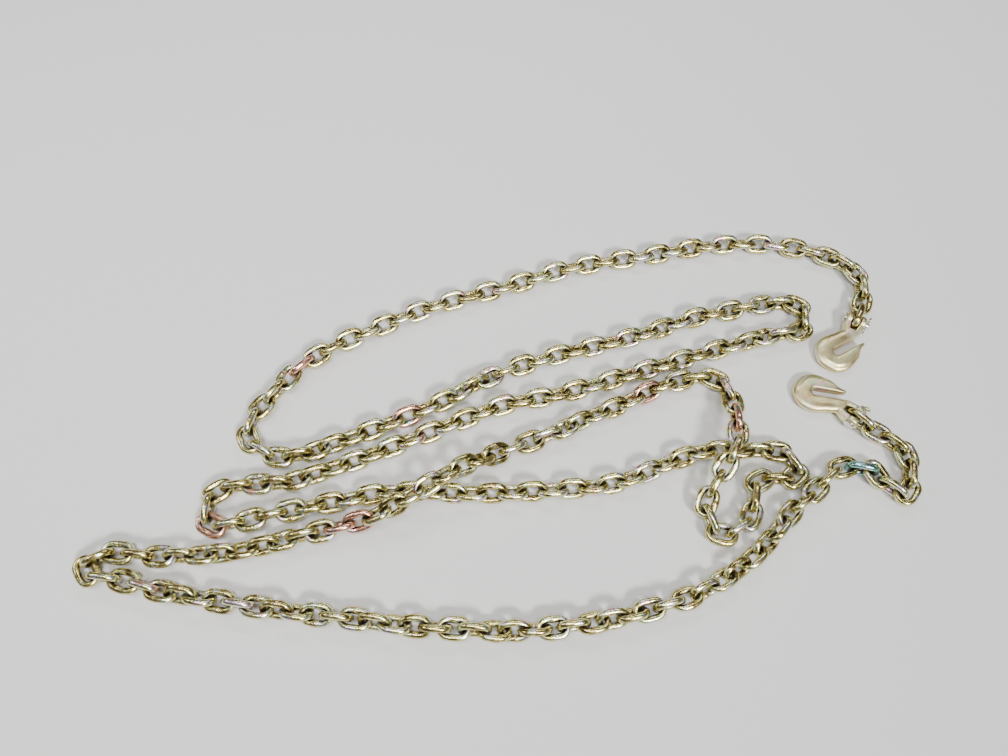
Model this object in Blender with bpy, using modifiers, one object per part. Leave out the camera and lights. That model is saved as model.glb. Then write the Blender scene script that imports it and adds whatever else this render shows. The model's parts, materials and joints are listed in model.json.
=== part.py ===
"""Heap of welded transport chain lying on a level floor, a clevis grab hook at each end.

+Z is up, the floor is z = 0 and the origin is under the middle of the heap. The chain is laid
link by link along a route of hand-chosen stations, from hook a at the upper right to hook b.
"""
import math

import bmesh
import bpy
import numpy as np
from mathutils import Matrix, Vector
from mathutils.bvhtree import BVHTree

MM = 0.001

# points nearer to each other than this, mm, are one
merge_reach = 0.002

# link, mm: a closed loop of square bar with chamfered ends, slightly slimmer at its tips
bar = 8.0
tip_bar = 7.2
inside_length = 25.8
inside_width = 12.8
tip_chamfer = 5.0
fuse_depth = 0.4
free_gap = 0.36

# chain
run_length = 5
nominal_step = 26.0
first_step = 17.2
spare_route = 42.0

# clevis grab hook, mm, in its own plane: x runs out of the slot, y is the shank's side
hook_thickness = 14.0
hook_chamfer = 1.6
slot_width = 10.6
slot_depth = 36.0
bowl_radius = 28.2
point_length = 41.6
point_base = 14.0
point_taper = ((0.505, -0.154), (0.77, -0.01), (0.985, 0.1), (1.0, 0.163))
neck_step = 5.0
bowl_centre = (-2.0, 0.5)
shoulder = (20.0, 25.0)
clevis_turn = 33.0
pin_along = 52.6
pin_across = 26.2
clevis_gap = 11.6
ear_thickness = 7.8
ear_radius = 10.4
ear_flat = 6.0
ear_length = 17.0
ear_taper = 0.6
ear_inset = 0.15
crotch_depth = 18.0
crotch_chamfer = 2.5

# clevis pin and split pin, mm
pin_radius = 4.7
pin_clearance = 0.35
pin_rest_gap = 0.5
pin_chamfer = 1.0
pin_head_radius = 7.0
pin_head_height = 2.6
pin_head_gap = 0.4
pin_overrun = 6.0
split_radius = 1.25
split_clearance = 0.35
split_stem = 12.8
split_eye_radius = 3.4
split_eye_bar = 1.0
split_leg = 6.0
split_leg_radius = 0.95
split_offset = 2.9
split_lean = 56.0
split_spread = 62.0

steel_colour = (0.62, 0.55, 0.30, 1.0)
hook_colour = (0.74, 0.66, 0.48, 1.0)
pin_colour = (0.55, 0.50, 0.42, 1.0)

# middle of the heap in the stations' own x and y, link pitches
heap_middle = (0.1, -0.0135)
# share of a link's outer width that a route pitch has at least, so that wide links lie clear
pitch_per_width = 0.9

# route stations: x, y in link pitches, lift above the chain's own height on the floor, twist in
# degrees. A lift of 1 carries the chain over a link that stands on edge.
route = [
    (18.42, 5.65, 0, 45), (18.81, 6.46, 0, 45), (19.19, 7.27, 0, 45), (19.38, 8.12, 0, 45),
    (19.15, 9, 0, 45), (18.38, 9.73, 0, 40), (16.62, 10.42, 0, 15), (14.88, 10.77, 0, 0),
    (12.96, 10.81, 0, 0), (10.96, 10.58, 0, 0), (7.04, 9.69, 0, 0), (3.12, 8.81, 0, 0),
    (-0.65, 7.38, 0, 0), (-4.62, 5.96, 0, 0), (-8.19, 4.15, 0, 0), (-9.92, 3.15, 0, 10),
    (-11.38, 1.92, 0, 30), (-12.08, 0.85, 0, 45), (-12.77, -0.12, 0, 45), (-13.35, -1, 0, 45),
    (-13.31, -1.96, 0, 45), (-12.62, -2.65, 0, 45), (-11.58, -2.92, 0, 45), (-10.42, -2.73, 0, 40),
    (-8.81, -2.04, 0, 15), (-7.12, -1.27, 0, 0), (-5.38, -0.46, 0, 0), (-3.69, 0.38, 0, 0),
    (-1.96, 1.46, 0, 35), (-0.15, 2.38, 0, 75), (2.54, 3.38, 0, 90), (6.35, 4.54, 0, 90),
    (9.96, 5.92, 0, 90), (11.77, 6.38, 0, 75), (13.65, 6.81, 0, 50), (14.81, 7.04, 0, 45),
    (15.73, 6.69, 0, 45), (16, 5.85, 0, 45), (15.42, 5.19, 0, 45), (14.42, 5.04, 0, 45),
    (12.81, 4.58, 0, 70), (10.88, 3.96, 0, 90), (7.15, 2.69, 0, 90), (3.42, 1.38, 0, 90),
    (1.77, 0.88, 0, 90), (-0.15, 0.46, 0, 90), (-3.77, -1.12, 0, 90), (-7.38, -2.77, 0, 90),
    (-9.19, -3.54, 0, 80), (-11.04, -4.19, 0, 60), (-12.88, -4.35, 0, 45), (-13.92, -4.54, 0, 45),
    (-14.69, -5.15, 0, 45), (-14.81, -6, 0, 45), (-14.12, -6.5, 0, 45), (-13.15, -6.31, 0, 45),
    (-11.96, -5.93, 0, 50), (-10, -5.41, 0, 80), (-8, -4.95, 0, 90), (-6.23, -4.5, 0, 90),
    (-4.19, -4.38, 0, 90), (-2.27, -4.42, 0, 90), (-0.31, -4.31, 0, 90), (1.65, -4.12, 0, 90),
    (3.58, -3.92, 0, 90), (5.46, -3.54, 0, 90), (7.31, -2.77, 0, 90), (8.54, -2.19, 0, 90),
    (9.85, -1.77, 0, 90), (11.12, -1.7, 0, 95), (12.3, -1.66, 0, 115), (13.78, -1.7, 0, 135),
    (14.19, -1.83, 0, 135), (14.5, -2.42, 0, 135), (14.19, -3.01, 0, 135), (13.78, -3.14, 0, 135),
    (12.45, -3.18, 0, 135), (12, -3.65, 0, 135), (11.96, -4.46, 0, 135), (11.65, -5.31, 0, 135),
    (10.92, -5.96, 0, 135), (10.04, -5.96, 0, 135), (9.46, -5.38, 0, 135), (9.58, -4.5, 0.139, 135),
    (9.92, -3.77, 0.382, 135), (10.35, -3.08, 0.642, 135), (10.77, -2.38, 0.885, 135),
    (11.08, -1.73, 0.99, 135), (11.23, -1.04, 0.92, 135), (11.27, -0.31, 0.694, 135),
    (11.27, 0.54, 0.417, 135), (11.23, 1.42, 0.156, 135), (10.65, 2.19, 0.035, 135),
    (9.62, 2.27, 0, 130), (7.35, 1.5, 0, 100), (5.85, 0.69, 0, 90), (4.04, -0.15, 0, 85),
    (2.35, -1.04, 0.01, 60), (0.5, -1.81, 0.01, 30), (-0.46, -2.27, 0.069, 15),
    (-1.27, -2.69, 0.382, 5), (-2.04, -3.12, 0.729, 0), (-2.77, -3.54, 0.938, 0),
    (-3.58, -4.08, 0.99, 0), (-4.35, -4.62, 0.99, 0), (-5.15, -5.15, 0.938, 0),
    (-5.77, -5.54, 0.729, 0), (-6.46, -5.81, 0.417, 0), (-7.23, -6.04, 0.174, 5),
    (-8, -6.27, 0.069, 15), (-8.92, -6.5, 0.017, 32), (-9.88, -6.77, 0, 50), (-11.77, -7.35, 0, 80),
    (-13.73, -7.77, 0, 80), (-15.69, -7.92, 0, 60), (-16.7, -7.99, 0, 50), (-17.8, -7.91, 0, 45),
    (-19.25, -7.86, 0, 45), (-19.59, -7.97, 0, 45), (-19.85, -8.46, 0, 45), (-19.59, -8.95, 0, 45),
    (-19.25, -9.06, 0, 45), (-18.05, -9.11, 0, 45), (-16.9, -9.42, 0, 40), (-14.88, -9.73, 0, 0),
    (-11.81, -10.08, 0, -56), (-9.92, -10.27, 0, -90), (-6.92, -10.5, 0, -145), (-5, -10.69, 0, -180),
    (-2.08, -10.77, 0, -232), (-0.27, -10.81, 0, -265), (2.58, -10.54, 0, -315),
    (4.31, -10.23, 0, -347), (7.12, -9.5, 0, -400), (8.73, -8.92, 0, -430), (11.2, -7.46, 0, -450),
    (12.51, -6.27, 0, -460), (13.86, -4.72, 0, -480), (15.13, -3.66, 0, -495), (16.2, -2.6, 0, -495),
    (17.15, -2.3, 0, -495), (18.06, -2.38, 0, -495), (18.48, -3.1, 0, -495), (18.69, -3.61, 0, -495),
    (19.2, -3.82, 0, -495), (19.71, -3.61, 0, -495), (19.92, -3.1, 0, -495), (20.05, -2.1, 0, -495),
    (19.9, -1.35, 0, -495), (19.4, -0.85, 0, -495), (18.38, -0.3, 0, -495), (17.62, 0.4, 0, -495),
    (16.92, 1.12, 0, -495),
]


def spline(points, step):
    """Points every step mm or less along a centripetal Catmull-Rom curve through the stations."""
    pts = np.array(points, float)
    pts = np.vstack([2 * pts[0] - pts[1], pts, 2 * pts[-1] - pts[-2]])
    knots = [0.0]
    for a, b in zip(pts, pts[1:]):
        knots.append(knots[-1] + max(np.linalg.norm((b - a)[:2]), 1e-6) ** 0.5)
    out = []
    for i in range(1, len(pts) - 2):
        p, k = pts[i - 1:i + 3], knots[i - 1:i + 3]
        count = max(2, int(np.linalg.norm((p[2] - p[1])[:2]) / step) + 1)
        for t in np.linspace(k[1], k[2], count, endpoint=False):
            q = [p[j] * (k[j + 1] - t) / (k[j + 1] - k[j]) + p[j + 1] * (t - k[j]) / (k[j + 1] - k[j])
                 for j in range(3)]
            r = [q[j] * (k[j + 2] - t) / (k[j + 2] - k[j]) + q[j + 1] * (t - k[j]) / (k[j + 2] - k[j])
                 for j in range(2)]
            out.append(r[0] * (k[2] - t) / (k[2] - k[1]) + r[1] * (t - k[1]) / (k[2] - k[1]))
    out.append(pts[-2])
    return np.array(out)


def floor_height(roll):
    """Centre height at which a link rolled by this angle stands on the floor."""
    s, c = abs(math.sin(roll)), abs(math.cos(roll))
    return (inside_width + bar) / 2 * s + bar / 2 * (s + c)


class Route:
    def __init__(self, stations):
        unit = max(nominal_step, (inside_width + 2 * bar) * pitch_per_width)
        fine = spline(stations, 0.04)
        twist = np.radians(fine[:, 3])
        own = np.array([max(floor_height(math.pi / 4 + t), floor_height(3 * math.pi / 4 + t))
                        for t in twist])
        reach = 13
        own = np.array([own[max(i - reach, 0):i + reach + 1].max() for i in range(len(own))])
        self.points = np.column_stack([(fine[:, 0] - heap_middle[0]) * unit,
                                       (fine[:, 1] - heap_middle[1]) * unit,
                                       fine[:, 2] * (inside_width + 2 * bar) + own])
        steps = np.linalg.norm(np.diff(self.points, axis=0), axis=1)
        self.along = np.concatenate([[0.0], np.cumsum(steps)])
        self.twist = twist
        self.total = self.along[-1]

    def at(self, s):
        return np.array([np.interp(s, self.along, self.points[:, i]) for i in range(3)])

    def hand(self, a, b, c):
        """1 where the route bends left at b, -1 where it bends right."""
        return 1 if (b - a)[0] * (c - b)[1] - (b - a)[1] * (c - b)[0] > 0 else -1

    def frame(self, s, index):
        """Matrix of a link centred s mm along the route: +X along it, +Y across its loop."""
        roll = math.pi / 4 + math.pi / 2 * index + np.interp(s, self.along, self.twist)
        tail, middle, head = (self.at(s + d) for d in (-nominal_step, 0, nominal_step))
        bend = (head + tail - 2 * middle) / nominal_step
        level = float(np.hypot(bend[0], bend[1]))
        lean = roll * 2 - 2 * math.atan2(bend[2], level) * self.hand(tail, middle, head)
        share = bend.dot(bend) / (bend.dot(bend) + 0.03)
        half = nominal_step / 2 - inside_width / 2 * share * math.cos(lean)
        tail, head = self.at(s - half), self.at(s + half)
        along = (head - tail) / np.linalg.norm(head - tail)
        side = np.cross((0, 0, 1), along)
        side /= np.linalg.norm(side)
        rise = np.cross(along, side)
        across = math.cos(roll) * side + math.sin(roll) * rise
        matrix = np.eye(4)
        matrix[:3, 0], matrix[:3, 1] = along, across
        matrix[:3, 2], matrix[:3, 3] = np.cross(along, across), (head + tail) / 2
        return matrix


def link_mesh(grow=0.0):
    """One link in mm: a square bar round an eight-cornered loop, its warped faces split in two."""
    half_long, half_wide = (inside_length + bar) / 2, (inside_width + bar) / 2
    corner, tip_half = half_long - tip_chamfer, half_wide - tip_chamfer
    loop = [(half_long, -tip_half, tip_bar), (half_long, tip_half, tip_bar),
            (corner, half_wide, bar), (-corner, half_wide, bar),
            (-half_long, tip_half, tip_bar), (-half_long, -tip_half, tip_bar),
            (-corner, -half_wide, bar), (corner, -half_wide, bar)]
    reach, verts, faces = bar / 2 + grow, [], []
    for i, (x, y, high) in enumerate(loop):
        before, after = loop[i - 1], loop[(i + 1) % 8]
        d0 = Vector((x - before[0], y - before[1])).normalized()
        d1 = Vector((after[0] - x, after[1] - y)).normalized()
        out = Vector((d0.y + d1.y, -d0.x - d1.x)).normalized()
        out *= reach / out.dot(Vector((d0.y, -d0.x)))
        for side, level in ((1, 1), (-1, 1), (-1, -1), (1, -1)):
            verts.append((x + side * out.x, y + side * out.y, level * (high / 2 + grow)))
    for i in range(8):
        a, b = 4 * i, 4 * ((i + 1) % 8)
        for j in range(4):
            k = (j + 1) % 4
            if i % 2 and j % 2 == 0:
                faces += [(a + j, b + j, b + k), (a + j, b + k, a + k)]
            else:
                faces.append((a + j, b + j, b + k, a + k))
    return np.array(verts), faces


def placed(matrix, verts):
    return verts @ matrix[:3, :3].T + matrix[:3, 3]


def tree(matrix, shape):
    verts, faces = shape
    return BVHTree.FromPolygons([tuple(v) for v in placed(matrix, verts)], faces)


def lay_chain():
    """Link frames along the route: each link is drawn forward until it bears on the one before.

    The count is odd, so the last link stands on edge for its hook as the first one does.
    """
    path = Route(route)
    thin, fat = link_mesh(-fuse_depth / 2), link_mesh(free_gap / 2)
    s = first_step
    frames = [path.frame(s, 0)]
    while s < path.total - spare_route or len(frames) % 2 == 0:
        index = len(frames)
        shape = fat if index % run_length == 0 else thin
        before = tree(frames[-1], shape)
        low, high = nominal_step * 0.65, nominal_step * 1.25
        for step in np.linspace(high, low, 16):
            if not before.overlap(tree(path.frame(s + step, index), shape)):
                low, high = step, step + (high - low) / 15
                break
        for _ in range(9):
            middle = (low + high) / 2
            if before.overlap(tree(path.frame(s + middle, index), shape)):
                high = middle
            else:
                low = middle
        s += low
        frames.append(path.frame(s, index))
    return frames


def material(name, colour, metallic, roughness):
    made = bpy.data.materials.new(name)
    made.use_nodes = True
    shader = made.node_tree.nodes["Principled BSDF"]
    shader.inputs["Base Color"].default_value = colour
    shader.inputs["Metallic"].default_value = metallic
    shader.inputs["Roughness"].default_value = roughness
    made.diffuse_color = colour
    return made


def add_mesh(name, build, collection, paint=None):
    """Object from a bmesh in metres, its faces turned outwards."""
    mesh = bpy.data.meshes.new(name)
    bmesh.ops.recalc_face_normals(build, faces=build.faces[:])
    build.to_mesh(mesh)
    build.free()
    made = bpy.data.objects.new(name, mesh)
    collection.objects.link(made)
    if paint:
        mesh.materials.append(paint)
    return made


def applied(guide, collection, paint=None):
    """The guide's evaluated shape as a plain mesh object of the same name; the guide goes."""
    bpy.context.view_layer.update()
    graph = bpy.context.evaluated_depsgraph_get()
    build = bmesh.new()
    build.from_mesh(bpy.data.meshes.new_from_object(guide.evaluated_get(graph)))
    bmesh.ops.remove_doubles(build, verts=build.verts[:], dist=merge_reach * MM)
    name = guide.name
    bpy.data.objects.remove(guide, do_unlink=True)
    return add_mesh(name, build, collection, paint)


def link_object(name, matrix, shape, collection, paint):
    verts, faces = shape
    build = bmesh.new()
    corners = [build.verts.new(v) for v in placed(matrix, verts) * MM]
    for face in faces:
        build.faces.new([corners[i] for i in face])
    return add_mesh(name, build, collection, paint)


def combine(target, tools, operation):
    """Apply EXACT Booleans of the tools to the target and keep the tools as wire display."""
    for tool in tools:
        change = target.modifiers.new(operation.lower(), "BOOLEAN")
        change.operation, change.solver, change.object = operation, "EXACT", tool
        tool.hide_render = True
        tool.display_type = "WIRE"
    bpy.context.view_layer.update()
    graph = bpy.context.evaluated_depsgraph_get()
    fresh = bpy.data.meshes.new_from_object(target.evaluated_get(graph))
    target.modifiers.clear()
    target.data = fresh
    outer_skin(fresh)


def outer_skin(mesh):
    """Triangles of the one outer skin: a sealed pocket between two fused links is filled."""
    build = bmesh.new()
    build.from_mesh(mesh)
    bmesh.ops.remove_doubles(build, verts=build.verts[:], dist=merge_reach * MM)
    bmesh.ops.triangulate(build, faces=build.faces[:])
    skins, seen = [], set()
    for seed in build.verts:
        if seed in seen:
            continue
        skin, edge = {seed}, [seed]
        while edge:
            for side in edge.pop().link_edges:
                fresh = [vert for vert in side.verts if vert not in skin]
                skin.update(fresh)
                edge += fresh
        seen |= skin
        skins.append(skin)
    skins.sort(key=len)
    pockets = [vert for skin in skins[:-1] for vert in skin]
    bmesh.ops.delete(build, geom=pockets, context="VERTS")
    bmesh.ops.recalc_face_normals(build, faces=build.faces[:])
    build.to_mesh(mesh)
    build.free()


def clevis(along, across):
    """Hook-plane point given along and across the clevis, from the pin's centre."""
    turn = math.radians(clevis_turn)
    return (pin_along + along * math.cos(turn) - across * math.sin(turn),
            pin_across + along * math.sin(turn) + across * math.cos(turn))


def arc(centre, radius, first, last, step):
    """Points of an arc between two angles in degrees."""
    turns = [math.radians(a) for a in range(first, last + (1 if step > 0 else -1), step)]
    return [(centre[0] + radius * math.cos(t), centre[1] + radius * math.sin(t)) for t in turns]


def hook_outline():
    """Outline of the hook in its own plane, mm: slot, slot-side ear, crotch, far ear, bowl, point."""
    half, gap, ear = slot_width / 2, clevis_gap / 2, clevis_gap / 2 + ear_thickness
    floor, corner = -crotch_depth, crotch_chamfer
    points = [(slot_depth, -half)]
    points += arc((0, 0), half, 270, 90, -30)
    points += [(slot_depth + neck_step, half)]
    points += [clevis(-ear_length, ear_taper - ear), clevis(-ear_radius, -ear), clevis(ear_flat, -ear)]
    points += [clevis(ear_flat, -gap), clevis(floor + corner, -gap), clevis(floor, corner - gap)]
    points += [clevis(floor, gap - corner), clevis(floor + corner, gap), clevis(ear_flat, gap)]
    points += [clevis(ear_flat, ear), clevis(-ear_radius, ear), clevis(-ear_length, ear - ear_taper)]
    points += [shoulder]
    points += arc(bowl_centre, bowl_radius, 75, 300, 15)
    for along, across in point_taper:
        points.append((point_length * along, point_length * across - point_base))
    return points


def from_pin(mirror):
    """The hook's outline from the pin's centre; mirror is -1 for the hook that lies turned over."""
    return [(x - pin_along, (y - pin_across) * mirror) for x, y in hook_outline()]


def plate(name, outline, collection, paint):
    """The hook's flat forging: its outline filled and thickened about z = 0, its rims chamfered."""
    curve = bpy.data.curves.new(name, "CURVE")
    curve.dimensions = "2D"
    curve.fill_mode = "BOTH"
    curve.extrude = (hook_thickness / 2 - hook_chamfer) * MM
    curve.bevel_depth = hook_chamfer * MM
    curve.bevel_resolution = 0
    curve.offset = -hook_chamfer * MM
    spline = curve.splines.new("POLY")
    spline.points.add(len(outline) - 1)
    for point, (x, y) in zip(spline.points, outline):
        point.co = (x * MM, y * MM, 0, 1)
    spline.use_cyclic_u = True
    guide = bpy.data.objects.new(name, curve)
    collection.objects.link(guide)
    return applied(guide, collection, paint)


def cylinder(name, start, end, radius, sides, collection, paint=None, turn=0.0):
    """Straight round bar between two points in mm; turn is the angle of its first corner."""
    along = end - start
    place = Matrix.Translation((start + end) / 2) @ along.to_track_quat("Z", "Y").to_matrix().to_4x4()
    build = bmesh.new()
    bmesh.ops.create_cone(build, cap_ends=True, segments=sides, radius1=radius, radius2=radius,
                          depth=along.length, matrix=place @ Matrix.Rotation(turn, 4, "Z"))
    bmesh.ops.scale(build, vec=(MM, MM, MM), verts=build.verts[:])
    return add_mesh(name, build, collection, paint)


def turned(name, profile, along, collection, paint):
    """Turned piece about the axis along: profile is (radius, height) in mm from its head down."""
    mesh = bpy.data.meshes.new(name)
    mesh.from_pydata([(radius * MM, 0, height * MM) for radius, height in profile],
                     [(i, i + 1) for i in range(len(profile) - 1)], [])
    guide = bpy.data.objects.new(name, mesh)
    collection.objects.link(guide)
    screw = guide.modifiers.new("turn", "SCREW")
    screw.steps = screw.render_steps = 12
    screw.use_merge_vertices = True
    screw.merge_threshold = merge_reach * MM
    made = applied(guide, collection, paint)
    made.data.transform(along.to_track_quat("Z", "Y").to_matrix().to_4x4())
    return made


def split_pin(name, middle, across, lean, collection, cutters, paint):
    """Split pin through middle along lean, its eye at the top and its two legs bent apart."""
    aside = lean.cross(across)
    top, foot = middle + lean * split_stem / 2, middle - lean * split_stem / 2
    split = cylinder(name, foot, top, split_radius, 6, collection, paint, turn=0.3)
    bpy.ops.mesh.primitive_torus_add(major_segments=10, minor_segments=5,
                                     major_radius=split_eye_radius, minor_radius=split_eye_bar)
    eye = bpy.context.object
    eye.name = name + "_eye"
    centre = Matrix.Translation(top + lean * (split_eye_radius - split_eye_bar / 2))
    eye.data.transform(Matrix.Scale(MM, 4) @ centre @ across.to_track_quat("Z", "Y").to_matrix().to_4x4())
    for home in list(eye.users_collection):
        home.objects.unlink(eye)
    cutters.objects.link(eye)
    spread = math.radians(split_spread)
    tools = [eye]
    for side in (-1, 1):
        start = foot + lean * split_leg_radius
        reach = aside * side * math.sin(spread) - lean * math.cos(spread)
        tools.append(cylinder(f"{name}_leg_{side}", start, start + reach * split_leg,
                              split_leg_radius, 5, cutters))
    combine(split, tools, "UNION")
    return split


def hook_pieces(tag, frame, mirror, collection, cutters, paints):
    """Hook, clevis pin and split pin about the pin's centre; frame sets them on the floor."""
    turn = math.radians(clevis_turn)
    onward = Vector((math.cos(turn), math.sin(turn) * mirror, 0))
    across = Vector((-math.sin(turn), math.cos(turn) * mirror, 0))
    inner, outer = clevis_gap / 2, clevis_gap / 2 + ear_thickness

    hook = plate("hook_" + tag, from_pin(mirror), collection, paints["hook"])
    ears = [cylinder(f"ear_{tag}_{side}", across * side * (inner + ear_inset),
                     across * side * (outer - ear_inset), ear_radius, 14, cutters, turn=math.pi / 14)
            for side in (-1, 1)]
    combine(hook, ears, "UNION")
    reach = outer + pin_overrun
    bore = cylinder("bore_" + tag, across * -reach, across * reach, pin_radius + pin_clearance, 12,
                    cutters, turn=0.1)
    combine(hook, [bore], "DIFFERENCE")

    under_head, end = outer + pin_head_gap, -outer - pin_overrun
    head = under_head + pin_head_height
    shaft = turned("clevis_pin_" + tag, [
        (0, head), (pin_head_radius - pin_chamfer, head), (pin_head_radius, head - pin_chamfer),
        (pin_head_radius, under_head), (pin_radius, under_head), (pin_radius, end + pin_chamfer),
        (pin_radius - pin_chamfer, end), (0, end)], across, collection, paints["pin"])
    lean_turn = math.radians(split_lean)
    lean = onward * math.cos(lean_turn) + Vector((0, 0, math.sin(lean_turn)))
    middle = across * (-outer - split_offset)
    hole = cylinder("split_hole_" + tag, middle - lean * 2 * pin_radius, middle + lean * 2 * pin_radius,
                    split_radius + split_clearance, 8, cutters)
    combine(shaft, [hole], "DIFFERENCE")
    split = split_pin("split_pin_" + tag, middle, across, lean, collection, cutters, paints["pin"])
    for piece in [hook, shaft, split, bore, hole] + ears:
        piece.matrix_world = frame


def hook_frame(pin_centre, heading, mirror):
    """Matrix that puts the pin at pin_centre in mm, the ears to heading and the bowl on the floor."""
    base = Matrix.Rotation(math.atan2(heading.y, heading.x) - mirror * math.radians(clevis_turn), 4, "Z")
    axis = Vector((0, 0, 1)).cross(heading)
    rim = [base @ Vector((x, y, -hook_thickness / 2)) for x, y in from_pin(mirror)]
    high, low = 0.0, -0.3
    for _ in range(30):
        tilt = (low + high) / 2
        if min((Matrix.Rotation(tilt, 3, axis) @ v).z for v in rim) + pin_centre.z > 0:
            high = tilt
        else:
            low = tilt
    return Matrix.Translation(pin_centre * MM) @ Matrix.Rotation(high, 4, axis) @ base


def build():
    for old in list(bpy.data.objects):
        bpy.data.objects.remove(old, do_unlink=True)
    heap = bpy.data.collections.new("chain_heap")
    cutters = bpy.data.collections.new("cutters")
    for collection in (heap, cutters):
        bpy.context.scene.collection.children.link(collection)
    paints = {"hook": material("forged_hook_zinc", hook_colour, 0.6, 0.5),
              "pin": material("plain_pin_steel", pin_colour, 0.8, 0.4)}

    frames = lay_chain()
    shape = link_mesh()
    for first in range(0, len(frames), run_length):
        name = f"chain_run_{first // run_length + 1:02d}"
        paint = material("yellow_zinc_" + name[-2:], steel_colour, 0.9, 0.35)
        run = link_object(name, frames[first], shape, heap, paint)
        rest = range(first + 1, min(first + run_length, len(frames)))
        combine(run, [link_object(f"link_{i + 1:03d}", frames[i], shape, cutters, paint) for i in rest],
                "UNION")

    throw = inside_length / 2 - pin_radius - pin_rest_gap
    drop = inside_width / 2 - pin_radius - pin_rest_gap
    for tag, matrix, sign, mirror in (("a", frames[0], 1, 1), ("b", frames[-1], -1, -1)):
        heading = Vector(matrix[:3, 0]) * sign
        pin_centre = Vector(matrix[:3, 3]) - heading * throw - Vector((0, 0, drop))
        level = Vector((heading.x, heading.y, 0)).normalized()
        hook_pieces(tag, hook_frame(pin_centre, level, mirror), mirror, heap, cutters, paints)


build()
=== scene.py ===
import json
import math
import bpy
import bmesh
import numpy as np
from mathutils import Matrix, Vector
from mathutils.bvhtree import BVHTree


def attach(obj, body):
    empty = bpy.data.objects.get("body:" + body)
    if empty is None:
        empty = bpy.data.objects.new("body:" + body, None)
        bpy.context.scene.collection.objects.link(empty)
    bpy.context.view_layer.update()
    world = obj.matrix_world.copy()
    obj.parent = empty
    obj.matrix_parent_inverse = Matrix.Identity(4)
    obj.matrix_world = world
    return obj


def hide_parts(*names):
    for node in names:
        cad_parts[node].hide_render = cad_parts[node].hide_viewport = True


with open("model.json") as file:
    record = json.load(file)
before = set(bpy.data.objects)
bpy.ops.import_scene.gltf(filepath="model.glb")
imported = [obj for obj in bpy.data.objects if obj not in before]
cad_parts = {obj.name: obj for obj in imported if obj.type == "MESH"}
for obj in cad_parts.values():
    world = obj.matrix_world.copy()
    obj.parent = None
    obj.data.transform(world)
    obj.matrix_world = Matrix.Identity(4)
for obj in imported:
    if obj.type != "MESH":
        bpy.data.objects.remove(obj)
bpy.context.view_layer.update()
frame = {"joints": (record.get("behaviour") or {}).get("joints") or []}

mm = 0.001
print("frame loaded")

# the heap's lay, mm: the same links, seats and strands as the solids have
lay = {
    "bar": 8.0,
    "tipBar": 7.2,  # height of the bar at a link's ends
    "insideLength": 25.8,
    "insideWidth": 12.8,
    "tipChamfer": 5.0,
    "fuseDepth": 0.4,  # links of one run bear into each other
    "freeGap": 0.36,  # links of two runs stay apart
    "linksInRun": 5,
    "step": 26.0,  # one link pitch
    "firstStep": 17.2,  # from the route's start to the first link's middle
    "spareRoute": 42.0,  # route left over past the last link
    "middle": (0.1, -0.0135),  # of the heap, in pitches
    "pitchPerWidth": 0.9,
    "fineStep": 0.04,  # pitches between two points of the smoothed route
    "easyBend": 0.03,  # squared bend at which a link is drawn half in
    "stepRange": (0.65, 1.25),  # least and most from link to link, in pitches
    "stepTries": 16,
    "halvings": 9,
}

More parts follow.
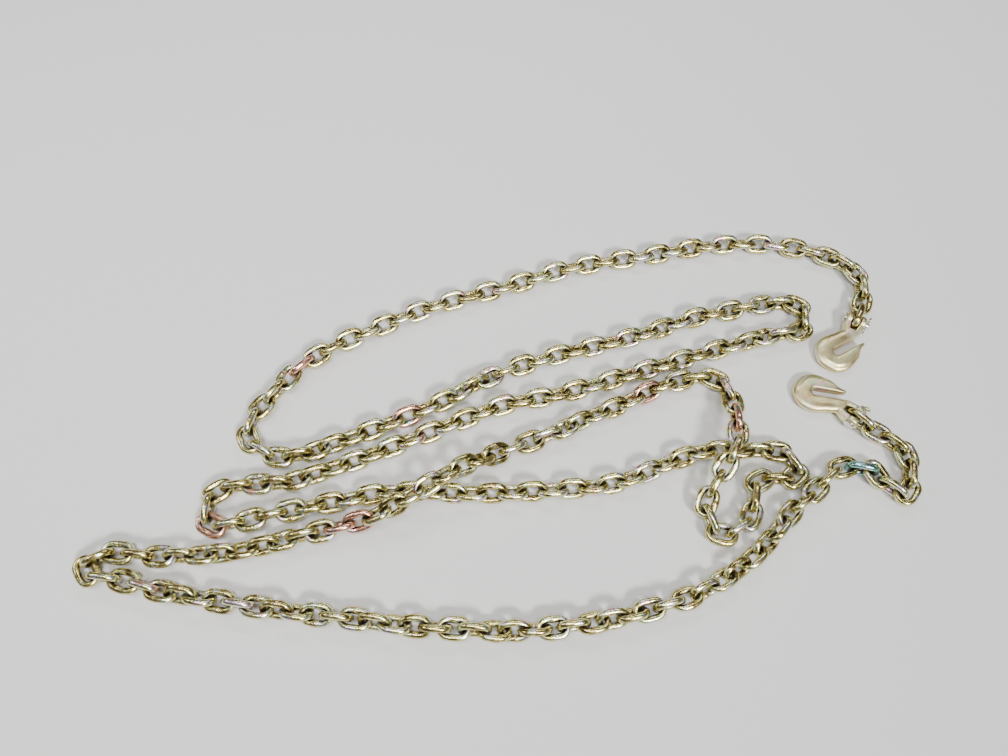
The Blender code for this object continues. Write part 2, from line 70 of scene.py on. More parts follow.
# x, y in link pitches, lift over the floor in crossed links, twist in degrees
route = [
    (18.42, 5.65, 0, 45), (18.81, 6.46, 0, 45), (19.19, 7.27, 0, 45), (19.38, 8.12, 0, 45),
    (19.15, 9, 0, 45), (18.38, 9.73, 0, 40), (16.62, 10.42, 0, 15), (14.88, 10.77, 0, 0),
    (12.96, 10.81, 0, 0), (10.96, 10.58, 0, 0), (7.04, 9.69, 0, 0), (3.12, 8.81, 0, 0),
    (-0.65, 7.38, 0, 0), (-4.62, 5.96, 0, 0), (-8.19, 4.15, 0, 0), (-9.92, 3.15, 0, 10),
    (-11.38, 1.92, 0, 30), (-12.08, 0.85, 0, 45), (-12.77, -0.12, 0, 45), (-13.35, -1, 0, 45),
    (-13.31, -1.96, 0, 45), (-12.62, -2.65, 0, 45), (-11.58, -2.92, 0, 45), (-10.42, -2.73, 0, 40),
    (-8.81, -2.04, 0, 15), (-7.12, -1.27, 0, 0), (-5.38, -0.46, 0, 0), (-3.69, 0.38, 0, 0),
    (-1.96, 1.46, 0, 35), (-0.15, 2.38, 0, 75), (2.54, 3.38, 0, 90), (6.35, 4.54, 0, 90),
    (9.96, 5.92, 0, 90), (11.77, 6.38, 0, 75), (13.65, 6.81, 0, 50), (14.81, 7.04, 0, 45),
    (15.73, 6.69, 0, 45), (16, 5.85, 0, 45), (15.42, 5.19, 0, 45), (14.42, 5.04, 0, 45),
    (12.81, 4.58, 0, 70), (10.88, 3.96, 0, 90), (7.15, 2.69, 0, 90), (3.42, 1.38, 0, 90),
    (1.77, 0.88, 0, 90), (-0.15, 0.46, 0, 90), (-3.77, -1.12, 0, 90), (-7.38, -2.77, 0, 90),
    (-9.19, -3.54, 0, 80), (-11.04, -4.19, 0, 60), (-12.88, -4.35, 0, 45), (-13.92, -4.54, 0, 45),
    (-14.69, -5.15, 0, 45), (-14.81, -6, 0, 45), (-14.12, -6.5, 0, 45), (-13.15, -6.31, 0, 45),
    (-11.96, -5.93, 0, 50), (-10, -5.41, 0, 80), (-8, -4.95, 0, 90), (-6.23, -4.5, 0, 90),
    (-4.19, -4.38, 0, 90), (-2.27, -4.42, 0, 90), (-0.31, -4.31, 0, 90), (1.65, -4.12, 0, 90),
    (3.58, -3.92, 0, 90), (5.46, -3.54, 0, 90), (7.31, -2.77, 0, 90), (8.54, -2.19, 0, 90),
    (9.85, -1.77, 0, 90), (11.12, -1.7, 0, 95), (12.3, -1.66, 0, 115), (13.78, -1.7, 0, 135),
    (14.19, -1.83, 0, 135), (14.5, -2.42, 0, 135), (14.19, -3.01, 0, 135), (13.78, -3.14, 0, 135),
    (12.45, -3.18, 0, 135), (12, -3.65, 0, 135), (11.96, -4.46, 0, 135), (11.65, -5.31, 0, 135),
    (10.92, -5.96, 0, 135), (10.04, -5.96, 0, 135), (9.46, -5.38, 0, 135), (9.58, -4.5, 0.139, 135),
    (9.92, -3.77, 0.382, 135), (10.35, -3.08, 0.642, 135), (10.77, -2.38, 0.885, 135),
    (11.08, -1.73, 0.99, 135), (11.23, -1.04, 0.92, 135), (11.27, -0.31, 0.694, 135),
    (11.27, 0.54, 0.417, 135), (11.23, 1.42, 0.156, 135), (10.65, 2.19, 0.035, 135),
    (9.62, 2.27, 0, 130), (7.35, 1.5, 0, 100), (5.85, 0.69, 0, 90), (4.04, -0.15, 0, 85),
    (2.35, -1.04, 0.01, 60), (0.5, -1.81, 0.01, 30), (-0.46, -2.27, 0.069, 15),
    (-1.27, -2.69, 0.382, 5), (-2.04, -3.12, 0.729, 0), (-2.77, -3.54, 0.938, 0),
    (-3.58, -4.08, 0.99, 0), (-4.35, -4.62, 0.99, 0), (-5.15, -5.15, 0.938, 0),
    (-5.77, -5.54, 0.729, 0), (-6.46, -5.81, 0.417, 0), (-7.23, -6.04, 0.174, 5),
    (-8, -6.27, 0.069, 15), (-8.92, -6.5, 0.017, 32), (-9.88, -6.77, 0, 50), (-11.77, -7.35, 0, 80),
    (-13.73, -7.77, 0, 80), (-15.69, -7.92, 0, 60), (-16.7, -7.99, 0, 50), (-17.8, -7.91, 0, 45),
    (-19.25, -7.86, 0, 45), (-19.59, -7.97, 0, 45), (-19.85, -8.46, 0, 45), (-19.59, -8.95, 0, 45),
    (-19.25, -9.06, 0, 45), (-18.05, -9.11, 0, 45), (-16.9, -9.42, 0, 40), (-14.88, -9.73, 0, 0),
    (-11.81, -10.08, 0, -56), (-9.92, -10.27, 0, -90), (-6.92, -10.5, 0, -145),
    (-5, -10.69, 0, -180),
    (-2.08, -10.77, 0, -232), (-0.27, -10.81, 0, -265), (2.58, -10.54, 0, -315),
    (4.31, -10.23, 0, -347), (7.12, -9.5, 0, -400), (8.73, -8.92, 0, -430), (11.2, -7.46, 0, -450),
    (12.51, -6.27, 0, -460), (13.86, -4.72, 0, -480), (15.13, -3.66, 0, -495),
    (16.2, -2.6, 0, -495), (17.15, -2.3, 0, -495), (18.06, -2.38, 0, -495), (18.48, -3.1, 0, -495),
    (18.69, -3.61, 0, -495),
    (19.2, -3.82, 0, -495), (19.71, -3.61, 0, -495), (19.92, -3.1, 0, -495), (20.05, -2.1, 0, -495),
    (19.9, -1.35, 0, -495), (19.4, -0.85, 0, -495), (18.38, -0.3, 0, -495), (17.62, 0.4, 0, -495),
    (16.92, 1.12, 0, -495),
]

# what shows of the chain, mm: round welded bar
chain = {
    "barRadius": 4.45,
    "halfLength": 17.5,
    "halfWidth": 10.55,
    "weldSwell": 0.42,
    "weldLength": 2.3,
    "ringSides": 6,
    "crossLift": 0.9,  # round bars stand this much higher where one strand lies on another
    "offFloor": 0.25,  # lift from which a link no longer sags or shakes
    "rollShake": 2.5,  # degrees
    "shakeStep": 12.9898,  # radians of the shake's wave from link to link
    "flatSag": 1.3,
    "tintStep": 0.618034,  # from one link's tint to the next, over 1 back to 0
    "copperLinks": (36, 50, 109, 153, 160, 177, 178),
    "copperTint": 2.2,
    "tealLinks": (234,),
    "tealTint": 3.9,
}

# rays that find the recesses, whose share is painted shade on the colour there, mm
nooks = {
    "rays": 12,
    "hookRays": 8,
    "reach": 22.0,
    "start": 0.6,  # off the surface
    "floorWeight": 0.45,
    "goldenAngle": 2.39996,
}


def routeCurve(points, step):
    # centripetal Catmull-Rom curve: blends of blends between each four stations in turn
    pts = np.array(points, float)
    pts = np.vstack([2 * pts[0] - pts[1], pts, 2 * pts[-1] - pts[-2]])
    knots = [0.0]
    for a, b in zip(pts[:-1], pts[1:]):
        knots.append(knots[-1] + max(np.linalg.norm((b - a)[:2]), 1e-6) ** 0.5)
    out = []
    for i in range(1, len(pts) - 2):
        p, k = pts[i - 1:i + 3], knots[i - 1:i + 3]
        count = max(2, int(np.linalg.norm((p[2] - p[1])[:2]) / step) + 1)
        for t in np.linspace(k[1], k[2], count, endpoint=False):
            q = [p[j] * (k[j + 1] - t) / (k[j + 1] - k[j])
                 + p[j + 1] * (t - k[j]) / (k[j + 1] - k[j]) for j in range(3)]
            r = [q[j] * (k[j + 2] - t) / (k[j + 2] - k[j])
                 + q[j + 1] * (t - k[j]) / (k[j + 2] - k[j]) for j in range(2)]
            out.append(r[0] * (k[2] - t) / (k[2] - k[1]) + r[1] * (t - k[1]) / (k[2] - k[1]))
    out.append(pts[-2])
    return np.array(out)


def floorHeight(roll):
    # centre height of a square-barred link on the floor
    s, c = abs(math.sin(roll)), abs(math.cos(roll))
    return (lay["insideWidth"] + lay["bar"]) / 2 * s + lay["bar"] / 2 * (s + c)


def roundHeight(roll):
    # centre height of a round-barred link on the floor: its half width tipped up, plus the bar
    return chain["halfWidth"] * abs(math.sin(roll)) + chain["barRadius"]


def strandHeight(height, twist):
    # highest stand of a link and its neighbour a quarter turn on, over half a pitch each way
    near = math.ceil(0.5 / lay["fineStep"])
    own = np.array([max(height(math.pi / 4 + t), height(3 * math.pi / 4 + t)) for t in twist])
    return np.array([own[max(i - near, 0):i + near + 1].max() for i in range(len(own))])


class Strand:
    def __init__(self):
        outsideWidth = lay["insideWidth"] + 2 * lay["bar"]
        unit = max(lay["step"], outsideWidth * lay["pitchPerWidth"])
        fine = routeCurve(route, lay["fineStep"])
        self.twist = np.radians(fine[:, 3])
        own = strandHeight(floorHeight, self.twist)
        self.points = np.column_stack([(fine[:, 0] - lay["middle"][0]) * unit,
                                       (fine[:, 1] - lay["middle"][1]) * unit,
                                       fine[:, 2] * outsideWidth + own])
        self.settle = strandHeight(roundHeight, self.twist) - own + chain["crossLift"] * fine[:, 2]
        self.lift = fine[:, 2]
        steps = np.linalg.norm(np.diff(self.points, axis=0), axis=1)
        self.along = np.concatenate([[0.0], np.cumsum(steps)])
        self.total = self.along[-1]

    def at(self, s):
        return np.array([np.interp(s, self.along, self.points[:, i]) for i in range(3)])

    def hand(self, a, b, c):
        # 1 on a left bend, -1 on a right one
        return 1 if (b - a)[0] * (c - b)[1] - (b - a)[1] * (c - b)[0] > 0 else -1

    def roll(self, s, index):
        # each link is a quarter turn on from the one before, plus the strand's own twist
        return math.pi / 4 + math.pi / 2 * index + np.interp(s, self.along, self.twist)

    def frame(self, s, index):
        # link matrix: +X along the strand, +Y across the loop, its middle drawn in on bends
        step = lay["step"]
        roll = self.roll(s, index)
        tail, middle, head = (self.at(s + d) for d in (-step, 0, step))
        bend = (head + tail - 2 * middle) / step
        level = float(np.hypot(bend[0], bend[1]))
        lean = roll * 2 - 2 * math.atan2(bend[2], level) * self.hand(tail, middle, head)
        share = bend.dot(bend) / (bend.dot(bend) + lay["easyBend"])
        half = step / 2 - lay["insideWidth"] / 2 * share * math.cos(lean)
        tail, head = self.at(s - half), self.at(s + half)
        along = (head - tail) / np.linalg.norm(head - tail)
        side = np.cross((0, 0, 1), along)
        side /= np.linalg.norm(side)
        rise = np.cross(along, side)
        across = math.cos(roll) * side + math.sin(roll) * rise
        matrix = np.eye(4)
        matrix[:3, 0], matrix[:3, 1] = along, across
        matrix[:3, 2], matrix[:3, 3] = np.cross(along, across), (head + tail) / 2
        return matrix


def seatShape(grow):
    # plain square-barred link that finds the seats: an eight-cornered loop of square sections
    halfLong = (lay["insideLength"] + lay["bar"]) / 2
    halfWide = (lay["insideWidth"] + lay["bar"]) / 2
    corner, tipHalf = halfLong - lay["tipChamfer"], halfWide - lay["tipChamfer"]
    bar, tip = lay["bar"], lay["tipBar"]
    loop = [(halfLong, -tipHalf, tip), (halfLong, tipHalf, tip), (corner, halfWide, bar),
            (-corner, halfWide, bar), (-halfLong, tipHalf, tip), (-halfLong, -tipHalf, tip),
            (-corner, -halfWide, bar), (corner, -halfWide, bar)]
    reach, verts, faces = bar / 2 + grow, [], []
    for i, (x, y, high) in enumerate(loop):
        before, after = loop[i - 1], loop[(i + 1) % 8]
        d0 = Vector((x - before[0], y - before[1])).normalized()
        d1 = Vector((after[0] - x, after[1] - y)).normalized()
        out = Vector((d0.y + d1.y, -d0.x - d1.x)).normalized()
        out *= reach / out.dot(Vector((d0.y, -d0.x)))
        for side, level in ((1, 1), (-1, 1), (-1, -1), (1, -1)):
            verts.append((x + side * out.x, y + side * out.y, level * (high / 2 + grow)))
    for i in range(8):
        a, b = 4 * i, 4 * ((i + 1) % 8)
        for j in range(4):
            k = (j + 1) % 4
            if i % 2 and j % 2 == 0:
                faces += [(a + j, b + j, b + k), (a + j, b + k, a + k)]
            else:
                faces.append((a + j, b + j, b + k, a + k))
    return np.array(verts), faces


def placed(matrix, verts):
    return verts @ matrix[:3, :3].T + matrix[:3, 3]


def seatTree(matrix, shape):
    verts, faces = shape
    return BVHTree.FromPolygons([tuple(v) for v in placed(matrix, verts)], faces)


def layChain(strand):
    # each link is drawn forward until its plain shape bears on the one before
    thin, fat = seatShape(-lay["fuseDepth"] / 2), seatShape(lay["freeGap"] / 2)
    s = lay["firstStep"]
    spots, frames = [s], [strand.frame(s, 0)]
    while s < strand.total - lay["spareRoute"] or len(frames) % 2 == 0:
        index = len(frames)
        shape = fat if index % lay["linksInRun"] == 0 else thin
        before = seatTree(frames[-1], shape)
        low, high = (lay["step"] * share for share in lay["stepRange"])
        for step in np.linspace(high, low, lay["stepTries"]):
            if not before.overlap(seatTree(strand.frame(s + step, index), shape)):
                low, high = step, step + (high - low) / (lay["stepTries"] - 1)
                break
        for _ in range(lay["halvings"]):
            middle = (low + high) / 2
            if before.overlap(seatTree(strand.frame(s + middle, index), shape)):
                high = middle
            else:
                low = middle
        s += low
        spots.append(s)
        frames.append(strand.frame(s, index))
    return spots, frames


def shade(name, colour=(0.6, 0.6, 0.6, 1)):
    made = bpy.data.materials.new(name)
    made.use_nodes = True
    made.diffuse_color = colour
    return made, made.node_tree.nodes["Principled BSDF"]


def feed(tree, socket, value):
    # a socket takes another node's output, or a plain value
    if isinstance(value, bpy.types.NodeSocket):
        tree.links.new(value, socket)
    else:
        socket.default_value = value


def blend(tree, share, first, second):
    node = tree.nodes.new("ShaderNodeMix")
    node.data_type = "RGBA"
    for place, value in ((0, share), (6, first), (7, second)):
        feed(tree, node.inputs[place], value)
    return node.outputs[2]


def calc(tree, kind, first, second=0.0, third=0.0):
    node = tree.nodes.new("ShaderNodeMath")
    node.operation = kind
    for socket, value in zip(node.inputs, (first, second, third)):
        feed(tree, socket, value)
    return node.outputs[0]


def between(tree, value, low, high, start=0.0, end=1.0):
    # value carried from low..high to start..end, held at the ends
    node = tree.nodes.new("ShaderNodeMapRange")
    for socket, number in zip(node.inputs, (value, low, high, start, end)):
        feed(tree, socket, number)
    return node.outputs[0]


def grain(tree, vector, scale, detail=2.0, roughness=0.5):
    node = tree.nodes.new("ShaderNodeTexNoise")
    feed(tree, node.inputs["Vector"], vector)
    for key, number in (("Scale", scale), ("Detail", detail), ("Roughness", roughness)):
        feed(tree, node.inputs[key], number)
    return node.outputs["Fac"]


def pointValue(tree, name):
    node = tree.nodes.new("ShaderNodeAttribute")
    node.attribute_name = name
    return node.outputs["Fac"]


def openGroup(name, inputs, outputs):
    # node group with (name, kind, value) inputs and (name, kind) outputs
    group = bpy.data.node_groups.new(name, "ShaderNodeTree")
    for key, kind, value in inputs:
        socket = group.interface.new_socket(key, in_out="INPUT", socket_type="NodeSocket" + kind)
        socket.default_value = value
    for key, kind in outputs:
        group.interface.new_socket(key, in_out="OUTPUT", socket_type="NodeSocket" + kind)
    given = group.nodes.new("NodeGroupInput").outputs
    return group, given, group.nodes.new("NodeGroupOutput").inputs


# plating, the same on chain, hooks and pins; each material gives the film its own colours
plating = {
    "stages": (("Gold", 0.33, 0.41), ("Straw", 0.46, 0.52), ("Mint", 0.54, 0.57),
               ("Lavender", 0.59, 0.63), ("Pink", 0.67, 0.71), ("Teal", 0.98, 1.05)),
    "tintDrift": 0.16,  # how far a link's tint moves it through the stages
    "tintShift": (3.7, 5.9, 7.3),  # moves the patches from link to link
    "patchDetail": (2.5, 0.55),
    "patchRange": (0.35, 0.7),
    "patchDull": 0.1,
    "speckScale": 620.0,
    "speckDetail": (3.0, 0.6),
    "speckRange": (0.58, 0.68),
    "speckShare": 0.5,
    "speckHeight": 0.35,
    "dentScale": 210.0,
    "weldShare": 0.5,
    "nookGrain": 0.3,
    "nookRange": (0.16, 0.46),
    # painted shade: how far recesses are blended to a dark brown, and how much rougher they get
    "paintedShadeShare": 0.94,
    "nookDull": 0.26,
    "bumpDistance": 0.0004,
}


def zincFilm():
    # chromate film on zinc: patches drift from bronze through gold, straw and mint to lavender,
    # pink and, on a rare link, teal; recesses get a painted shade of dark brown and go dull
    group, given, gives = openGroup("zincFilm", [
        ("Tint", "Float", 0.5), ("Nook", "Float", 0.0), ("Weld", "Float", 0.0),
        ("Patch", "Float", 90.0), ("Specks", "Float", 0.7), ("Gloss", "Float", 0.2),
        ("Deep", "Color", (0.35, 0.27, 0.11, 1)), ("Gold", "Color", (0.68, 0.59, 0.22, 1)),
        ("Straw", "Color", (0.86, 0.82, 0.43, 1)), ("Mint", "Color", (0.61, 0.75, 0.38, 1)),
        ("Lavender", "Color", (0.88, 0.77, 0.87, 1)), ("Pink", "Color", (0.88, 0.5, 0.36, 1)),
        ("Teal", "Color", (0.3, 0.62, 0.6, 1)), ("PaintedShade", "Color", (0.05, 0.028, 0.013, 1))],
        [("Colour", "Color"), ("Roughness", "Float"), ("Height", "Float")])
    shift = group.nodes.new("ShaderNodeVectorMath")
    shift.operation = "MULTIPLY_ADD"
    feed(group, shift.inputs[0], given["Tint"])
    feed(group, shift.inputs[1], plating["tintShift"])
    feed(group, shift.inputs[2], group.nodes.new("ShaderNodeTexCoord").outputs["Object"])
    spot = shift.outputs[0]
    patch = grain(group, spot, given["Patch"], *plating["patchDetail"])
    tint = calc(group, "SUBTRACT", given["Tint"], 0.5)
    drift = calc(group, "MULTIPLY_ADD", tint, plating["tintDrift"], patch)
    colour = given["Deep"]
    for key, low, high in plating["stages"]:
        colour = blend(group, between(group, drift, low, high), colour, given[key])
    speck = grain(group, spot, plating["speckScale"], *plating["speckDetail"])
    spots = between(group, speck, *plating["speckRange"], 0.0, plating["speckShare"])
    spots = calc(group, "MULTIPLY", spots, given["Specks"])
    colour = blend(group, spots, colour, given["Deep"])
    heat = calc(group, "MULTIPLY", given["Weld"], plating["weldShare"])
    colour = blend(group, heat, colour, given["Pink"])
    stray = calc(group, "MULTIPLY", calc(group, "SUBTRACT", speck, 0.5), given["Specks"])
    stray = calc(group, "MULTIPLY_ADD", stray, plating["nookGrain"], given["Nook"])
    nook = between(group, stray, *plating["nookRange"])
    # painted shade: recesses and places near the floor are blended to a dark brown
    paintedShadeMix = calc(group, "MULTIPLY", nook, plating["paintedShadeShare"])
    group.links.new(blend(group, paintedShadeMix, colour, given["PaintedShade"]), gives["Colour"])
    dull = between(group, patch, *plating["patchRange"])
    dull = calc(group, "MULTIPLY_ADD", dull, plating["patchDull"], given["Gloss"])
    dull = calc(group, "MULTIPLY_ADD", nook, plating["nookDull"], dull)
    group.links.new(dull, gives["Roughness"])
    dents = grain(group, spot, plating["dentScale"])
    dents = calc(group, "MULTIPLY_ADD", speck, plating["speckHeight"], dents)
    group.links.new(dents, gives["Height"])
    return group


def plated(name, film, settings, bump, solid):
    # plated metal: the film's colour, roughness and dents on the given shader
    made, shader = shade(name, solid)
    tree = made.node_tree
    shader.inputs["Metallic"].default_value = 1.0
    coat = tree.nodes.new("ShaderNodeGroup")
    coat.node_tree = film
    for key, value in settings.items():
        feed(tree, coat.inputs[key], value)
    for key, layer in (("Tint", "linkTint"), ("Nook", "nook"), ("Weld", "weldMark")):
        feed(tree, coat.inputs[key], pointValue(tree, layer))
    raised = tree.nodes.new("ShaderNodeBump")
    raised.inputs["Strength"].default_value = bump
    raised.inputs["Distance"].default_value = plating["bumpDistance"]
    tree.links.new(coat.outputs["Height"], raised.inputs["Height"])
    tree.links.new(coat.outputs["Colour"], shader.inputs["Base Color"])
    tree.links.new(coat.outputs["Roughness"], shader.inputs["Roughness"])
    tree.links.new(raised.outputs["Normal"], shader.inputs["Normal"])
    return made


def seatLinks(strand, spots, frames):
    # round links settle on the floor: strand by strand lower or higher than the plain ones,
    # flat links between links on edge sag to the lower bars, and each is shaken a little in roll
    settled = []
    for index, (s, matrix) in enumerate(zip(spots, frames)):
        m = matrix.copy()
        drop = np.interp(s, strand.along, strand.settle)
        onFloor = 1 - min(np.interp(s, strand.along, strand.lift) / chain["offFloor"], 1)
        sag = chain["flatSag"] * max(0.0, math.cos(2 * strand.roll(s, index))) * onFloor
        shake = math.radians(chain["rollShake"]) * math.sin(index * chain["shakeStep"]) * onFloor
        m[:3, :3] = m[:3, :3] @ np.array(Matrix.Rotation(shake, 3, "X"))
        # on the floor the centre is as high as the lean of the end centres, the round end's tip
        # and the bar
        stand = (chain["halfLength"] - chain["halfWidth"]) * abs(m[2, 0]) + chain["barRadius"]
        stand += chain["halfWidth"] * math.hypot(m[2, 0], m[2, 1])
        m[2, 3] = max(m[2, 3] + drop - sag, stand)
        settled.append(m)
    return settled


def linkCage():
    # loop of rings: four round each end on its half circle, three at the weld, one on the far side.
    # Ring k is centre(k) + radius(k) (cos v outward + sin v upward), v from 0 to a full turn.
    # Subdivision draws the end rings, the sections and the weld in, so all stand out by as much.
    ringDraw, barDraw, swellRise = 0.902, 0.833, 1.8
    wide, weld = chain["halfWidth"], chain["weldLength"]
    half = chain["halfLength"] - wide
    endAngles = np.radians([-67.5, -22.5, 22.5, 67.5])
    headWays = np.column_stack([np.cos(endAngles), np.sin(endAngles)])
    centres = np.vstack([headWays * wide / ringDraw + (half, 0),
                         [(weld, wide), (0, wide), (-weld, wide)],
                         -headWays * wide / ringDraw - (half, 0), [(0, -wide)]])
    outward = np.vstack([headWays, [(0, 1)] * 3, -headWays, [(0, -1)]])
    swell = np.array([0.0] * 5 + [1.0] + [0.0] * 6)
    sides = chain["ringSides"]
    v = np.arange(sides) * 2 * math.pi / sides
    around = np.stack([np.cos(v)[None] * outward[:, :1], np.cos(v)[None] * outward[:, 1:],
                       np.repeat(np.sin(v)[None], len(centres), 0)], -1)
    middle = np.column_stack([centres, np.zeros(len(centres))])[:, None]
    radius = chain["barRadius"] / barDraw + swell * chain["weldSwell"] * swellRise
    cage = middle + radius[:, None, None] * around
    onEnd = np.abs(middle[:, :, :1]) > half
    drawn = np.array([half, 0.0, 0.0]) * np.sign(middle) * onEnd
    bars = drawn + (middle - drawn) * np.where(onEnd, ringDraw, 1.0) + chain["barRadius"] * around
    weldMark = np.repeat(swell[:, None], sides, 1)
    rings = len(centres)
    i, j = np.meshgrid(np.arange(rings), np.arange(sides), indexing="ij")
    n, m = (i + 1) % rings, (j + 1) % sides
    quads = np.stack([i * sides + j, n * sides + j, n * sides + m, i * sides + m], -1)
    grids = (grid.reshape(-1, grid.shape[-1]) for grid in (cage, bars, around, quads))
    return *grids, weldMark.ravel()


def meshObject(name, verts, faces, body, material, node):
    mesh = bpy.data.meshes.new(name)
    mesh.from_pydata(np.asarray(verts, float) * mm, [], [tuple(f) for f in faces])
    build = bmesh.new()
    build.from_mesh(mesh)
    if build.calc_volume(signed=True) < 0:
        bmesh.ops.reverse_faces(build, faces=build.faces[:])
    build.to_mesh(mesh)
    build.free()
    made = bpy.data.objects.new(name, mesh)
    bpy.context.scene.collection.objects.link(made)
    mesh.materials.append(material)
    for polygon in mesh.polygons:
        polygon.use_smooth = True
    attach(made, body)
    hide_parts(node)
    return made


def pointValues(mesh, name, values):
    layer = mesh.attributes.new(name, "FLOAT", "POINT")
    layer.data.foreach_set("value", np.asarray(values, np.float32))


def nookShare(points, normals, metal, rays):
    # share of rays about each normal that meet metal within reach, near ones more; the floor at
    # z = 0 counts less than half. Ray k leans by asin(sqrt((k + 0.5) / rays)), turned by k golden
    # angles.
    # the share is painted shade: it darkens recesses and undersides near the floor
    k, reach = np.arange(rays), nooks["reach"]
    lean = np.sqrt((k + 0.5) / rays)
    spread = np.column_stack([lean * np.cos(k * nooks["goldenAngle"]),
                              lean * np.sin(k * nooks["goldenAngle"]), np.sqrt(1 - lean ** 2)])
    side = np.cross(normals, np.where(np.abs(normals[:, 2:]) < 0.8, (0.0, 0, 1), (1.0, 0, 0)))
    side /= np.linalg.norm(side, axis=1)[:, None]
    other = np.cross(normals, side)
    ways = (spread[None, :, 0, None] * side[:, None] + spread[None, :, 1, None] * other[:, None]
            + spread[None, :, 2, None] * normals[:, None])
    shares = np.zeros(len(points))
    for i, (start, fan) in enumerate(zip(points + normals * nooks["start"], ways)):
        for way in fan:
            found = metal.ray_cast(tuple(start), tuple(way), reach)[3]
            floor = max(start[2], 0.0) / -way[2] if way[2] < -0.01 else reach
            if found is not None and found < floor:
                shares[i] += 1 - found / reach
            elif floor < reach:
                shares[i] += nooks["floorWeight"] * (1 - floor / reach)
    return shares / rays


def buildChain(material):
    strand = Strand()
    spots, frames = layChain(strand)
    settled = seatLinks(strand, spots, frames)
    cage, bars, around, quads, weldMark = linkCage()
    count = len(cage)
    skin = np.vstack([placed(m, bars) for m in settled])
    metal = BVHTree.FromPolygons(skin.tolist(), [tuple(q) for k in range(len(settled))
                                                 for q in (quads + k * count).tolist()])
    normals = np.vstack([around @ m[:3, :3].T for m in settled])
    # painted shade: the share of rays meeting metal or floor, stored on each link's points
    nook = nookShare(skin, normals, metal, nooks["rays"]).reshape(-1, count)
    print("recesses", np.percentile(nook, (5, 25, 50, 75, 95)).round(2))
    for first in range(0, len(frames), lay["linksInRun"]):
        run = range(first, min(first + lay["linksInRun"], len(frames)))
        verts = np.vstack([placed(settled[i], cage) for i in run])
        faces = np.vstack([quads + k * count for k in range(len(run))]).tolist()
        number = first // lay["linksInRun"] + 1
        piece = meshObject(f"weldedLinks{number:02d}", verts, faces, "chain",
                           material, f"chain_run_{number:02d}")
        pointValues(piece.data, "nook", nook[first:first + len(run)].ravel())
        pointValues(piece.data, "weldMark", np.tile(weldMark, len(run)))
        tint = np.array([(i * chain["tintStep"]) % 1 for i in run])
        tint += chain["copperTint"] * np.isin(run, chain["copperLinks"])
        tint += chain["tealTint"] * np.isin(run, chain["tealLinks"])
        pointValues(piece.data, "linkTint", np.repeat(tint, count))
        smooth = piece.modifiers.new("roundBar", "SUBSURF")
        smooth.levels = smooth.render_levels = 1
    print("chain", len(frames), "links")
    return metal


# grab hook, mm, in its own plane: x runs out of the slot from its closed end, y towards the shank
hook = {
    "thickness": 14.0,
    "slotWidth": 10.6,
    "slotDepth": 36.0,
    "bowlRadius": 28.2,
    "bowlCentre": (-2.0, 0.5),
    "clevisTurn": 33.0,
    "pinAlong": 52.6,
    "pinAcross": 26.2,
    "clevisGap": 11.6,
    "earThickness": 7.8,
    "earRadius": 10.4,
    "crotchDepth": 18.0,
    "forgeGrain": 0.55,
    "forgeSoftening": 9,
    "bodyRows": 96,
    "earTurn": 128.0,  # degrees of the round boss on either side
    "earRootDraw": 4.2,
    "earDrawStart": 9.0,  # behind the pin
    "earDrawLength": 15.0,
    "earDrawPower": 1.4,
    "offFloor": 0.02,
    "mostTilt": 0.3,  # radians
    "tiltHalvings": 24,
    "tint": 0.45,
}

# clevis pin, mm
pin = {
    "radius": 4.35,
    "headRadius": 7.0,
    "headHeight": 2.8,
    "headGap": 0.4,
    "tipRadius": 0.4,  # of the small flats that close both ends
    "overrun": 6.0,
    "sides": 28,
    "tint": 0.55,
}

# split pin, mm and degrees: one bent wire
cotter = {
    "wire": 1.15,
    "stem": 12.8,
    "eye": 3.4,
    "leg": 6.5,
    "lean": 56.0,
    "spread": 62.0,
    "offset": 2.9,  # from the ear to the stem
    "gap": 0.96,  # from the middle to each stem, in wires
    "rows": 90,
    "sides": 10,
    "tint": 0.8,
}

# half section of the forging from the slot wall (0) to the outer rim (1): share across, height in
# half thicknesses on the shank side (softly crowned), and on the point side (a raised inner face
# with a crease down to a round rim)
hookSection = [(0.0, 0.5, 0.52), (0.015, 0.74, 0.78), (0.06, 0.9, 0.95), (0.13, 0.96, 1.01),
               (0.3, 1.0, 1.05), (0.5, 1.0, 1.07), (0.62, 0.97, 1.08), (0.68, 0.95, 0.88),
               (0.76, 0.89, 0.76), (0.84, 0.79, 0.7), (0.91, 0.64, 0.6), (0.97, 0.44, 0.44),
               (1.0, 0.2, 0.2)]
# outline of an ear from its boss to the root, mm: along the clevis (0 is the pin), half height
earNeck = [(-12.5, 7.4), (-18.0, 6.9)]


def smoothRow(values, count):
    # uniform Catmull-Rom blend through rows of numbers, resampled to count rows
    values = np.asarray(values, float)
    padded = np.vstack([2 * values[0] - values[1], values, 2 * values[-1] - values[-2]])
    t = np.linspace(0, len(values) - 1 - 1e-9, count)
    i, f = t.astype(int), (t % 1)[:, None]
    a, b, c, d = (padded[i + k] for k in range(4))
    return 0.5 * (2 * b + (c - a) * f + (2 * a - 5 * b + 4 * c - d) * f ** 2
                  + (3 * b - a - 3 * c + d) * f ** 3)


def tubeFaces(rings, sides):
    i, j = np.meshgrid(np.arange(rings - 1), np.arange(sides), indexing="ij")
    k = (j + 1) % sides
    quads = np.stack([i * sides + j, i * sides + k, (i + 1) * sides + k, (i + 1) * sides + j], -1)
    ends = [list(range(sides - 1, -1, -1)), list(range((rings - 1) * sides, rings * sides))]
    return quads.reshape(-1, 4).tolist() + ends


def clevisPoint(along, across):
    # from the clevis's own plane, with the pin at 0, 0, to the hook's
    turn = math.radians(hook["clevisTurn"])
    return (hook["pinAlong"] + along * math.cos(turn) - across * math.sin(turn),
            hook["pinAcross"] + along * math.sin(turn) + across * math.cos(turn))


